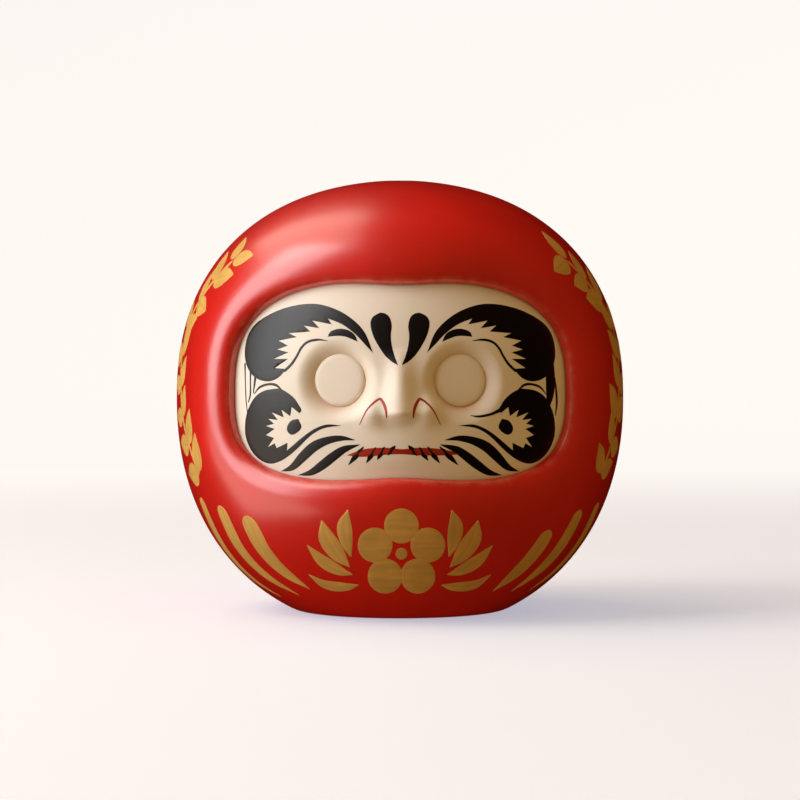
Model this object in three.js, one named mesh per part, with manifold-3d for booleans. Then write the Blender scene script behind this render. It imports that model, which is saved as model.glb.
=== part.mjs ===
// Daruma doll: a hollow moulded-paper figure with a recessed face, standing on a weighted flat base.
// Units are millimetres. The origin is on the floor at the middle of the base, +Z is up and the face
// looks along -Y. The red body is two halves joined over paper strips; the face is set in from behind.
import * as THREE from 'three';
import { mergeVertices } from 'three/addons/utils/BufferGeometryUtils.js';
import Module from 'manifold-3d';

// Body
const BODY_WIDTH = 150; // across the widest ring
const BODY_HEIGHT = 143.6; // floor to crown
const WIDEST_HEIGHT = 0.498 * BODY_HEIGHT; // height of the widest ring above the floor
const BELLY_DROP = 0.5467 * BODY_HEIGHT; // where the belly curve would close, below the widest ring
const CROWN_POWER = 2.25; // fullness of the shoulders: 2 is an ellipse
const BELLY_POWER = 2.2; // fullness of the belly
const WALL = 2; // thickness of the moulded paper
const FIT = 0.3; // room left between pieces that lie against each other

// Face window in the front half
const WINDOW_WIDTH = 127.4; // along the curve of the body
const WINDOW_HEIGHT = 63.7; // at the middle
const WINDOW_RISE = 0.534 * BODY_HEIGHT; // middle of the window above the floor
const WINDOW_SQUARENESS = [3.6, 2.9]; // of the lower and upper half: 2 is an ellipse, larger is squarer
const WINDOW_BOW = 1.4; // the long edges bow towards the middle of the face by this much
const WINDOW_BOW_SPREAD = 13; // degrees to each side over which they do
const LIP_ROLL = 3; // how far the edge of the window turns in
const LIP_ROLL_WIDTH = 2.8;
const LIP_RISE = 1.7; // height of the soft ridge around the window
const LIP_CREST = 9.5; // distance of that ridge from the edge
const HOOD_RISE = 2; // the brow of the hood above the window
const HOOD_ABOVE_WINDOW = 12;
const HOOD_SPREAD = 9;
const HOOD_REACH = 38; // degrees to each side

// Face
const FACE_FLANGE = 3.5; // how far the face reaches behind the lip
const FACE_WALL = 1.8;
const NOSE_HEIGHT = 5.8; // at the tip, out from the face
const NOSE_TIP_BELOW = 10; // below the middle of the window
const NOSE_LENGTH = 21; // from the brow to the tip
const NOSE_BRIDGE_HALF_WIDTH = 3.6;
const NOSE_TIP_HALF_WIDTH = 5.8;
const NOSE_UNDERSIDE = 3.2; // over which the tip drops back to the face
const NOSTRIL_SPREAD = 8; // middle of the face to the middle of a nostril wing
const NOSTRIL_RADIUS = 4.2;
const NOSTRIL_HEIGHT = 3.4;
const MUZZLE_HEIGHT = 1.2;
const MUZZLE_BELOW = 22;
const MUZZLE_TALL = 8;
const MUZZLE_WIDE = 16;

// Eyes
const EYE_DIAMETER = 16.6; // of the unpainted disc
const EYE_SPREAD = 19.6; // from the middle of the face to the middle of an eye
const SOCKET_DEPTH = 4.4;
const SOCKET_FLARE = 6.4; // the wall of a socket leans out by this much, and is steepest at its foot
const EYE_THICKNESS = 1.2;
const EYE_DOME = 0.5; // how much higher its middle is
const EYE_BEVEL = 0.4;
const CUP_WALL = 1.8;

// Base
const OPENING_RADIUS = 31; // hole in the underside that the weight closes
const WEIGHT_TOP = 10; // height of the clay weight above the floor
const WEIGHT_SHOULDER = 7; // height where the clay leaves the wall
const ROD_HOLE_RADIUS = 4; // hole for the rod the body is dipped in paint on
const PAPER_THICKNESS = 0.5; // disc pasted under the weight

// Paper strips inside the joint
const STRIP_WIDTH = 12;
const STRIP_THICKNESS = 0.5;
const STRIP_FOOT_ANGLE = -42; // lowest end of the side strips, in degrees above the widest ring
const STRIP_SIDE_END_ANGLE = 38;
const STRIP_CROWN_START_ANGLE = 41;

// Fineness of the curved surfaces
const AROUND_WINDOW = 60;
const RINGS_TO_JOINT = 12;
const RING_CROWDING = 2.2; // the rings crowd towards the window
const PAST_JOINT_ANGLE = 97; // the front half is made past the joint, then trimmed flat
const ROUND_SEGMENTS = 48;
const EYE_SEGMENTS = 32;
const BODY_STEPS = 18;
const FACE_COLUMNS = 32;
const FACE_ROWS = 20;
const COLUMN_CROWDING = 0.38; // the face's rows and columns crowd towards its middle
const ROW_CROWDING = 0.2;
const SOCKET_STEPS = 5;
const EYE_STEPS = 3;
const WEIGHT_STEPS = 5;
const STRIP_STEPS = 14;

const RED = 0xc02418;
const FACE_WHITE = 0xe9dcc8;
const EYE_WHITE = 0xefe6d6;
const STRIP_CREAM = 0xd9cfb8;
const CLAY = 0x9a7a60;
const KRAFT = 0xb89a72;

const wasm = await Module();
wasm.setup();

const centre = new THREE.Vector3(0, 0, WIDEST_HEIGHT);
const crownRise = BODY_HEIGHT - WIDEST_HEIGHT;
const maskDepth = LIP_ROLL + WALL + FIT;
const socketRadius = EYE_DIAMETER / 2 + FIT;
const degree = Math.PI / 180;
const facetSag = (BODY_WIDTH / 2) * (1 - Math.cos(Math.PI / (2 * BODY_STEPS))); // flats cut inside the curve

// ---------------------------------------------------------------- shapes

// Distance from the middle of the body to the plain body surface along a unit direction.
function bodyReach(direction) {
  const across = Math.hypot(direction.x, direction.y) / (BODY_WIDTH / 2);
  const above = direction.z > 0;
  const power = above ? CROWN_POWER : BELLY_POWER;
  const upright = Math.abs(direction.z) / (above ? crownRise : BELLY_DROP);
  return (across ** power + upright ** power) ** (-1 / power);
}

// Radius of the plain body at a height above the floor.
function bodyRadius(height) {
  const above = height > WIDEST_HEIGHT;
  const power = above ? CROWN_POWER : BELLY_POWER;
  const share = Math.abs(height - WIDEST_HEIGHT) / (above ? crownRise : BELLY_DROP);
  return (BODY_WIDTH / 2) * (1 - share ** power) ** (1 / power);
}

// A smooth hump of height 1 that fades over a spread.
function hump(distance, spread) {
  return Math.exp(-((distance / spread) ** 2));
}

// Half height of the window at an angle around the body, in radians from the front.
function windowHalfHeight(angle) {
  return WINDOW_HEIGHT / 2 + WINDOW_BOW * (1 - hump(angle, WINDOW_BOW_SPREAD * degree));
}

// Size of the window's outline through a place, given in half widths and half heights; 1 is the edge.
function windowSize(wide, tall, up) {
  const squareness = WINDOW_SQUARENESS[up > 0 ? 1 : 0];
  return (wide ** squareness + tall ** squareness) ** (1 / squareness);
}

// How far a point of the body lies outside the window's edge; negative is inside the window.
function pastWindow(angle, height) {
  const along = angle * bodyRadius(WINDOW_RISE);
  const up = height - WINDOW_RISE;
  const wide = Math.abs(along) / (WINDOW_WIDTH / 2);
  const tall = Math.abs(up) / windowHalfHeight(angle);
  const size = windowSize(wide, tall, up);
  return (1 - 1 / Math.max(size, 1e-6)) * Math.hypot(along, up);
}

// Height of the red surface over the plain body: the rolled lip, its ridge and the hood.
function lipHeight(angle, height) {
  const out = Math.max(pastWindow(angle, height), 0);
  const ridge = LIP_RISE * (out / LIP_CREST) * Math.exp(1 - out / LIP_CREST);
  const roll = LIP_ROLL * Math.exp(-out / LIP_ROLL_WIDTH);
  const hoodHeight = WINDOW_RISE + WINDOW_HEIGHT / 2 + HOOD_ABOVE_WINDOW;
  const hood = HOOD_RISE * hump(height - hoodHeight, HOOD_SPREAD) * hump(angle, HOOD_REACH * degree);
  return ridge - roll + hood * (1 - Math.exp(-out / LIP_CREST));
}

// Height of the modelled face over its plain curve, at a place seen from the front. It fades out towards
// the window's edge, so that the rim lies flat behind the lip.
function faceRelief(x, z, past) {
  const tip = WINDOW_RISE - NOSE_TIP_BELOW;
  const up = z - tip;
  const slope = up > 0 ? Math.max(1 - up / NOSE_LENGTH, 0) : hump(up, NOSE_UNDERSIDE);
  const flare = hump(Math.max(up, 0), NOSE_LENGTH / 3);
  const width = NOSE_BRIDGE_HALF_WIDTH + (NOSE_TIP_HALF_WIDTH - NOSE_BRIDGE_HALF_WIDTH) * flare;
  const ridge = NOSE_HEIGHT * slope * hump(x, width);
  const besideWing = hump(Math.abs(x) - NOSTRIL_SPREAD, NOSTRIL_RADIUS);
  const wings = NOSTRIL_HEIGHT * hump(up, NOSTRIL_RADIUS) * besideWing;
  const lips = MUZZLE_HEIGHT * hump(z - WINDOW_RISE + MUZZLE_BELOW, MUZZLE_TALL) * hump(x, MUZZLE_WIDE);
  return (Math.hypot(ridge, wings) + lips) * (1 - hump(Math.min(past, 0), FACE_FLANGE));
}

// ---------------------------------------------------------------- solids

function meshOf(name, geometry, color, roughness) {
  const material = new THREE.MeshStandardMaterial({ color, roughness, metalness: 0 });
  const mesh = new THREE.Mesh(geometry, material);
  mesh.name = name;
  return mesh;
}

function geometryFrom(positions, triangles) {
  const geometry = new THREE.BufferGeometry();
  geometry.setAttribute('position', new THREE.Float32BufferAttribute(positions, 3));
  geometry.setIndex(triangles);
  return geometry;
}

// Turns every triangle round if the body would otherwise face inwards.
function facingOut(positions, triangles) {
  let volume = 0;
  for (let t = 0; t < triangles.length; t += 3) {
    const [a, b, c] = [0, 1, 2].map((k) => new THREE.Vector3().fromArray(positions, 3 * triangles[t + k]));
    volume += a.dot(b.cross(c));
  }
  if (volume > 0) return triangles;
  const turned = [];
  for (let t = 0; t < triangles.length; t += 3) turned.push(triangles[t], triangles[t + 2], triangles[t + 1]);
  return turned;
}

function solidFrom(positions, triangles) {
  const triVerts = new Uint32Array(facingOut(positions, triangles));
  const mesh = new wasm.Mesh({ numProp: 3, vertProperties: new Float32Array(positions), triVerts });
  return new wasm.Manifold(mesh);
}

function geometryOf(solid) {
  const mesh = solid.getMesh();
  return geometryFrom(Array.from(mesh.vertProperties), Array.from(mesh.triVerts));
}

// A closed wall between two sheets of points. Rows run away from the first edge; when the sheet wraps,
// its last column joins its first.
function wallSolid(rows, columns, wraps, outerPoint, innerPoint) {
  const positions = [];
  const triangles = [];
  const sheetSize = (rows + 1) * columns;
  for (const point of [outerPoint, innerPoint]) {
    for (let i = 0; i <= rows; i += 1) {
      for (let j = 0; j < columns; j += 1) positions.push(...point(i, j).toArray());
    }
  }
  const at = (sheet, i, j) => sheet * sheetSize + i * columns + (j % columns);
  const quad = (a, b, c, d) => triangles.push(a, b, c, a, c, d);
  const spans = wraps ? columns : columns - 1;
  for (let i = 0; i < rows; i += 1) {
    for (let j = 0; j < spans; j += 1) {
      quad(at(0, i, j), at(0, i, j + 1), at(0, i + 1, j + 1), at(0, i + 1, j));
      quad(at(1, i, j), at(1, i + 1, j), at(1, i + 1, j + 1), at(1, i, j + 1));
    }
  }
  for (let j = 0; j < spans; j += 1) {
    quad(at(0, 0, j), at(1, 0, j), at(1, 0, j + 1), at(0, 0, j + 1));
    quad(at(0, rows, j), at(0, rows, j + 1), at(1, rows, j + 1), at(1, rows, j));
  }
  if (!wraps) {
    for (let i = 0; i < rows; i += 1) {
      quad(at(0, i, 0), at(0, i + 1, 0), at(1, i + 1, 0), at(1, i, 0));
      const last = columns - 1;
      quad(at(0, i, last), at(1, i, last), at(1, i + 1, last), at(0, i + 1, last));
    }
  }
  return solidFrom(positions, triangles);
}

// Makes a solid of a closed three.js geometry: its equal corners are joined, and the triangles that
// close up on a lathe's axis are dropped.
function solidOf(geometry) {
  geometry.deleteAttribute('normal');
  geometry.deleteAttribute('uv');
  const merged = mergeVertices(geometry, 1e-4);
  const index = merged.getIndex().array;
  const triangles = [];
  for (let t = 0; t < index.length; t += 3) {
    const [a, b, c] = [index[t], index[t + 1], index[t + 2]];
    if (a !== b && b !== c && c !== a) triangles.push(a, b, c);
  }
  return solidFrom(Array.from(merged.getAttribute('position').array), triangles);
}

// A turned solid: the profile is given as [radius, height] and starts and ends on the axis, or closes.
function turnedSolid(profile, segments) {
  const geometry = new THREE.LatheGeometry(profile.map(([r, h]) => new THREE.Vector2(r, h)), segments);
  return solidOf(geometry.rotateX(Math.PI / 2));
}

function boxSolid(low, high) {
  const size = high.map((value, k) => value - low[k]);
  const middle = high.map((value, k) => (value + low[k]) / 2);
  return solidOf(new THREE.BoxGeometry(...size).translate(...middle));
}

// ---------------------------------------------------------------- red body

const reach = BODY_WIDTH; // larger than the body in every direction
const frontSpace = boxSolid([-reach, -reach, 0], [reach, -FIT / 2, 2 * reach]);
const backSpace = boxSolid([-reach, FIT / 2, 0], [reach, reach, 2 * reach]);
const openingProfile = [[0, -WALL], [OPENING_RADIUS, -WALL], [OPENING_RADIUS, 3 * WALL], [0, 3 * WALL]];
const openingTool = turnedSolid(openingProfile, ROUND_SEGMENTS);

// Unit direction at an angle away from straight ahead, turned around that axis.
function aheadDirection(away, turn) {
  return new THREE.Vector3(Math.sin(away) * Math.cos(turn), -Math.cos(away), Math.sin(away) * Math.sin(turn));
}

function angleAndHeight(direction) {
  const point = direction.clone().multiplyScalar(bodyReach(direction)).add(centre);
  return [Math.atan2(point.x, -point.y), point.z];
}

// Angle away from straight ahead at which the window's edge is met.
function windowAway(turn) {
  let inside = 0;
  let outside = 80 * degree;
  for (let n = 0; n < 40; n += 1) {
    const middle = (inside + outside) / 2;
    if (pastWindow(...angleAndHeight(aheadDirection(middle, turn))) < 0) inside = middle;
    else outside = middle;
  }
  return outside;
}

function frontShell() {
  const edges = [];
  for (let j = 0; j < AROUND_WINDOW; j += 1) edges.push(windowAway((2 * Math.PI * j) / AROUND_WINDOW));
  const point = (i, j, depth) => {
    const share = (i / RINGS_TO_JOINT) ** RING_CROWDING;
    const away = edges[j] + (PAST_JOINT_ANGLE * degree - edges[j]) * share;
    const direction = aheadDirection(away, (2 * Math.PI * j) / AROUND_WINDOW);
    const raised = bodyReach(direction) + lipHeight(...angleAndHeight(direction));
    return direction.clone().multiplyScalar(raised - depth).add(centre);
  };
  const sheet = (depth) => (i, j) => point(i, j, depth);
  const wall = wallSolid(RINGS_TO_JOINT, AROUND_WINDOW, true, sheet(0), sheet(WALL));
  return wall.intersect(frontSpace).subtract(openingTool);
}

// Profile of the body from the crown down past the floor, at a depth under its surface.
function bodyProfile(depth) {
  const profile = [];
  for (let i = 0; i <= BODY_STEPS; i += 1) {
    const elevation = (90 - (180 * i) / BODY_STEPS) * degree;
    const direction = new THREE.Vector3(Math.cos(elevation), 0, Math.sin(elevation));
    const distance = bodyReach(direction) - depth;
    const edge = i === 0 || i === BODY_STEPS;
    profile.push([edge ? 0 : distance * direction.x, WIDEST_HEIGHT + distance * direction.z]);
  }
  return profile;
}

function backShell() {
  const outside = turnedSolid(bodyProfile(0), ROUND_SEGMENTS);
  const inside = turnedSolid(bodyProfile(WALL), ROUND_SEGMENTS);
  return outside.subtract(inside).intersect(backSpace).subtract(openingTool);
}

// ---------------------------------------------------------------- face

function facePoint(column, row, depth) {
  const u = (2 * column) / FACE_COLUMNS - 1;
  const v = (2 * row) / FACE_ROWS - 1;
  const spread = [u * (1 - COLUMN_CROWDING * (1 - u * u)), v * (1 - ROW_CROWDING * (1 - v * v))];
  const far = Math.max(Math.abs(spread[0]), Math.abs(spread[1]), 1e-9);
  const shrink = far / Math.max(windowSize(Math.abs(spread[0]), Math.abs(spread[1]), spread[1]), 1e-9);
  const along = spread[0] * shrink * (WINDOW_WIDTH / 2 + FACE_FLANGE);
  const angle = along / bodyRadius(WINDOW_RISE);
  const height = WINDOW_RISE + spread[1] * shrink * (windowHalfHeight(angle) + FACE_FLANGE);
  const radius = bodyRadius(height);
  const plain = new THREE.Vector3(radius * Math.sin(angle), -radius * Math.cos(angle), height).sub(centre);
  const raised = plain.length() - maskDepth + faceRelief(plain.x, height, pastWindow(angle, height)) - depth;
  return plain.setLength(raised).add(centre);
}

// Places a solid turned about +Z so that its axis points out of an eye, its zero on the socket floor.
function intoEye(solid, side) {
  const radius = bodyRadius(WINDOW_RISE) - maskDepth;
  const angle = side * Math.asin(EYE_SPREAD / radius);
  const floorRadius = radius - SOCKET_DEPTH;
  const place = new THREE.Matrix4().makeTranslation(
    floorRadius * Math.sin(angle),
    -floorRadius * Math.cos(angle),
    WINDOW_RISE,
  );
  place.multiply(new THREE.Matrix4().makeRotationZ(angle));
  place.multiply(new THREE.Matrix4().makeRotationX(Math.PI / 2));
  return solid.transform(place.toArray());
}

function socketTool() {
  const profile = [[0, 0]];
  for (let i = 0; i <= SOCKET_STEPS; i += 1) {
    const share = i / SOCKET_STEPS;
    profile.push([socketRadius + SOCKET_FLARE * share, SOCKET_DEPTH * (1 - (1 - share) ** 2)]);
  }
  const top = SOCKET_DEPTH + NOSE_HEIGHT;
  profile.push([socketRadius + SOCKET_FLARE, top], [0, top]);
  return turnedSolid(profile, EYE_SEGMENTS);
}

function faceMask() {
  const sheet = (depth) => (i, j) => facePoint(j, i, depth);
  let mask = wallSolid(FACE_ROWS, FACE_COLUMNS + 1, false, sheet(0), sheet(FACE_WALL));
  const cupRadius = socketRadius + CUP_WALL;
  const cupTop = SOCKET_DEPTH - FACE_WALL;
  const cup = [[0, -CUP_WALL], [cupRadius, -CUP_WALL], [cupRadius + CUP_WALL, cupTop], [0, cupTop]];
  for (const side of [-1, 1]) {
    mask = mask.add(intoEye(turnedSolid(cup, EYE_SEGMENTS), side));
    mask = mask.subtract(intoEye(socketTool(), side));
  }
  return mask;
}

// A disc with a bevelled edge and a slightly domed front.
function eyeBlank(side) {
  const radius = socketRadius - FIT;
  const rim = FIT + EYE_THICKNESS;
  const profile = [[0, FIT], [radius, FIT], [radius, rim - EYE_BEVEL]];
  for (let i = 0; i <= EYE_STEPS; i += 1) {
    const share = 1 - i / EYE_STEPS;
    profile.push([(radius - EYE_BEVEL) * share, rim + EYE_DOME * (1 - share * share)]);
  }
  return intoEye(turnedSolid(profile, EYE_SEGMENTS), side);
}

// ---------------------------------------------------------------- inside and underneath

// A strip of paper across the joint, between two elevations in degrees on the joint's plane.
function seamStrip(from, to) {
  const halfWidth = STRIP_WIDTH / 2;
  const point = (i, j, depth) => {
    const elevation = (from + ((to - from) * i) / STRIP_STEPS) * degree;
    const inJoint = new THREE.Vector3(Math.cos(elevation), 0, Math.sin(elevation));
    const radius = bodyReach(inJoint) - depth;
    const direction = inJoint.multiplyScalar(radius).setY((j - 1) * halfWidth).normalize();
    return direction.clone().multiplyScalar(bodyReach(direction) - depth).add(centre);
  };
  const outerDepth = WALL + FIT + 2 * facetSag;
  const innerDepth = outerDepth + STRIP_THICKNESS;
  const sheet = (depth) => (i, j) => point(i, j, depth);
  return wallSolid(STRIP_STEPS, 3, false, sheet(outerDepth), sheet(innerDepth));
}

// Clay pressed into the bottom of the body, with a hole for the dipping rod.
function baseWeight() {
  const bottom = FIT + PAPER_THICKNESS + FIT;
  const profile = [[ROD_HOLE_RADIUS, bottom]];
  const lowest = Math.atan2(-WIDEST_HEIGHT, OPENING_RADIUS);
  const highest = Math.atan2(WEIGHT_SHOULDER - WIDEST_HEIGHT, bodyRadius(WEIGHT_SHOULDER));
  for (let i = 0; i <= WEIGHT_STEPS; i += 1) {
    const elevation = lowest + ((highest - lowest) * i) / WEIGHT_STEPS;
    const direction = new THREE.Vector3(Math.cos(elevation), 0, Math.sin(elevation));
    const distance = bodyReach(direction) - WALL - 2 * FIT;
    const radius = i === 0 ? OPENING_RADIUS - FIT : distance * direction.x;
    profile.push([radius, Math.max(bottom, WIDEST_HEIGHT + distance * direction.z)]);
  }
  const brim = profile[profile.length - 1];
  for (let i = 1; i <= WEIGHT_STEPS; i += 1) {
    const turn = ((i / WEIGHT_STEPS) * Math.PI) / 2;
    const radius = ROD_HOLE_RADIUS + (brim[0] - ROD_HOLE_RADIUS) * Math.cos(turn);
    profile.push([radius, brim[1] + (WEIGHT_TOP - brim[1]) * Math.sin(turn)]);
  }
  profile.push(profile[0]);
  return turnedSolid(profile, ROUND_SEGMENTS);
}

function basePaper() {
  const radius = OPENING_RADIUS - FIT;
  const top = FIT + PAPER_THICKNESS;
  return turnedSolid([[0, FIT], [radius, FIT], [radius, top], [0, top]], ROUND_SEGMENTS);
}

// ---------------------------------------------------------------- assembly

const leftFoot = 180 - STRIP_FOOT_ANGLE;
const leftTop = 180 - STRIP_SIDE_END_ANGLE;
const crownEnd = 180 - STRIP_CROWN_START_ANGLE;
const pieces = [
  ['front_shell', frontShell(), RED, 0.42],
  ['back_shell', backShell(), RED, 0.42],
  ['face_mask', faceMask(), FACE_WHITE, 0.55],
  ['eye_blank_left', eyeBlank(-1), EYE_WHITE, 0.5],
  ['eye_blank_right', eyeBlank(1), EYE_WHITE, 0.5],
  ['seam_strip_right', seamStrip(STRIP_FOOT_ANGLE, STRIP_SIDE_END_ANGLE), STRIP_CREAM, 0.9],
  ['seam_strip_left', seamStrip(leftTop, leftFoot), STRIP_CREAM, 0.9],
  ['seam_strip_crown', seamStrip(STRIP_CROWN_START_ANGLE, crownEnd), STRIP_CREAM, 0.9],
  ['base_weight', baseWeight(), CLAY, 0.9],
  ['base_paper', basePaper(), KRAFT, 0.9],
];

const daruma = new THREE.Group();
daruma.name = 'daruma_doll';
for (const [name, solid, color, roughness] of pieces) {
  daruma.add(meshOf(name, geometryOf(solid), color, roughness));
}

export default daruma;
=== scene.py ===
"""Daruma doll: a round red figure of moulded paper with a painted face, made over its fixed frame."""

import math

import bmesh
import bpy
import numpy as np
from bpy.props import FloatProperty, FloatVectorProperty, IntProperty, PointerProperty
from mathutils import Matrix, Vector
from mathutils.geometry import delaunay_2d_cdt


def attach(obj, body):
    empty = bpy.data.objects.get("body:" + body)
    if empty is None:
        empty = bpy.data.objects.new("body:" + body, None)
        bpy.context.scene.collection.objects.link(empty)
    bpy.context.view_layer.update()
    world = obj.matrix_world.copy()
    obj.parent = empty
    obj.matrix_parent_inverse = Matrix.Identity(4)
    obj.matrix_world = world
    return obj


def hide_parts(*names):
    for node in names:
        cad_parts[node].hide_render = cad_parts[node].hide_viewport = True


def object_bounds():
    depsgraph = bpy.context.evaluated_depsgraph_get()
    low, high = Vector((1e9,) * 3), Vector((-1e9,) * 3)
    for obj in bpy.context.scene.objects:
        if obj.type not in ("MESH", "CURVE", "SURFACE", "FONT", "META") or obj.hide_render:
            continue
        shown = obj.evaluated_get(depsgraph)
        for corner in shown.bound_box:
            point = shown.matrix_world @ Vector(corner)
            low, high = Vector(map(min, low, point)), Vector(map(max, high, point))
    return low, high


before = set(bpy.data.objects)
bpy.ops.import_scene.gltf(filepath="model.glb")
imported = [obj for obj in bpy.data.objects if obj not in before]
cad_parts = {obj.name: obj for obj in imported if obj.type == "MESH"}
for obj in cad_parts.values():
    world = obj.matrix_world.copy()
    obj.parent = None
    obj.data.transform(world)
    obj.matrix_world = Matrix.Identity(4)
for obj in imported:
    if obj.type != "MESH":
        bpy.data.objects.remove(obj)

CAD_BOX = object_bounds()

bl_info = {
    "name": "Daruma doll",
    "version": (1, 0, 0),
    "blender": (4, 5, 0),
    "location": "3D View > Sidebar > Daruma",
    "description": "Makes a hollow moulded-paper daruma doll with a painted face",
    "category": "Add Mesh",
}

MM = 0.001
DEGREE = math.pi / 180
SIDES = (("left", -1), ("right", 1))


def linear(hex_colour):
    """The linear colour of an sRGB hex value such as "#c02418"."""
    values = [int(hex_colour[i : i + 2], 16) / 255 for i in (1, 3, 5)]
    return [v / 12.92 if v <= 0.04045 else ((v + 0.055) / 1.055) ** 2.4 for v in values]


def length_setting(name, description, millimetres):
    return FloatProperty(
        name=name, description=description, default=millimetres * MM, unit="LENGTH", precision=5
    )


def colour_setting(name, description, hex_colour):
    return FloatVectorProperty(
        name=name,
        description=description,
        default=linear(hex_colour),
        size=3,
        min=0,
        max=1,
        subtype="COLOR",
    )


class DarumaSizes(bpy.types.PropertyGroup):
    """Sizes of the doll that a user would change."""

    wall: length_setting("Wall", "Thickness of the moulded paper", 2)
    window_width: length_setting("Window width", "Along the curve of the body", 127.4)
    window_height: length_setting("Window height", "At the middle of the face", 63.7)
    lip_roll: length_setting("Lip roll", "How far the window's edge turns in", 3)
    lip_rise: length_setting("Lip rise", "Height of the soft ridge around the window", 1.7)
    face_depth: length_setting("Face depth", "From the plain body to the face", 5.3)
    socket_depth: length_setting("Socket depth", "From the face to the floor of an eye", 4.4)
    nose_height: length_setting("Nose height", "From the face to the tip of the nose", 5.8)
    paint_height: length_setting("Paint height", "How far dried paint stands up", 0.1)
    body_steps: IntProperty(
        name="Body steps", description="Rows of faces on each half of the body", default=120, min=24
    )


class DarumaColours(bpy.types.PropertyGroup):
    """Paint and paper colours of the doll."""

    red: colour_setting("Red", "Body paint", "#d81a0f")
    face: colour_setting("Face", "Shell-white ground of the face", "#ede9e2")
    ink: colour_setting("Ink", "Brows, beard and whiskers", "#120a07")
    gold: colour_setting("Gold", "Body ornament", "#e8b965")
    mouth: colour_setting("Mouth", "Lips and nostril lines", "#a3200f")


# ---------------------------------------------------------------- the doll's form

# Heights as shares of the doll's height, powers of the rounded curves and lengths in millimetres.
WIDEST_SHARE = 0.498
BELLY_SHARE = 0.5467  # where the belly curve would close, below the widest ring
WINDOW_SHARE = 0.534
CROWN_POWER = 2.25
BELLY_POWER = 2.2
WINDOW_TOP_POWER = 2.9
WINDOW_FOOT_POWER = 3.6
WINDOW_BOW = 1.4
BOW_SPREAD = 13  # degrees
LIP_CREST = 9.5
LIP_FADE = 3.5
LIP_ROUND = 1.6
HOOD_RISE = 2
HOOD_ABOVE = 12
HOOD_SPREAD = 9
HOOD_REACH = 38  # degrees
NOSE_TIP_BELOW = 10
NOSE_LENGTH = 21
NOSE_BRIDGE = 3.6
NOSE_WIDENING = 2.2
NOSE_UNDERSIDE = 3.2
WING_RADIUS = 4.2
WING_HEIGHT = 3.4
WING_SPREAD = 8
MUZZLE_HEIGHT = 1.2
MUZZLE_BELOW = 22
MUZZLE_TALL = 8
MUZZLE_WIDE = 16
FACE_EDGE_FADE = 3.5
EYE_SPREAD = 19.6
EYE_RADIUS = 8.3
SOCKET_FLOOR = 8.4
SOCKET_FLARE = 6.4
OPENING_RADIUS = 31
PAINT_ROOT = 0.15  # how deep a paint skin is sunk in what it lies on


def hump(distance, spread):
    """A smooth hump of height 1 that fades over a spread."""
    return np.exp(-((distance / spread) ** 2))


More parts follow.
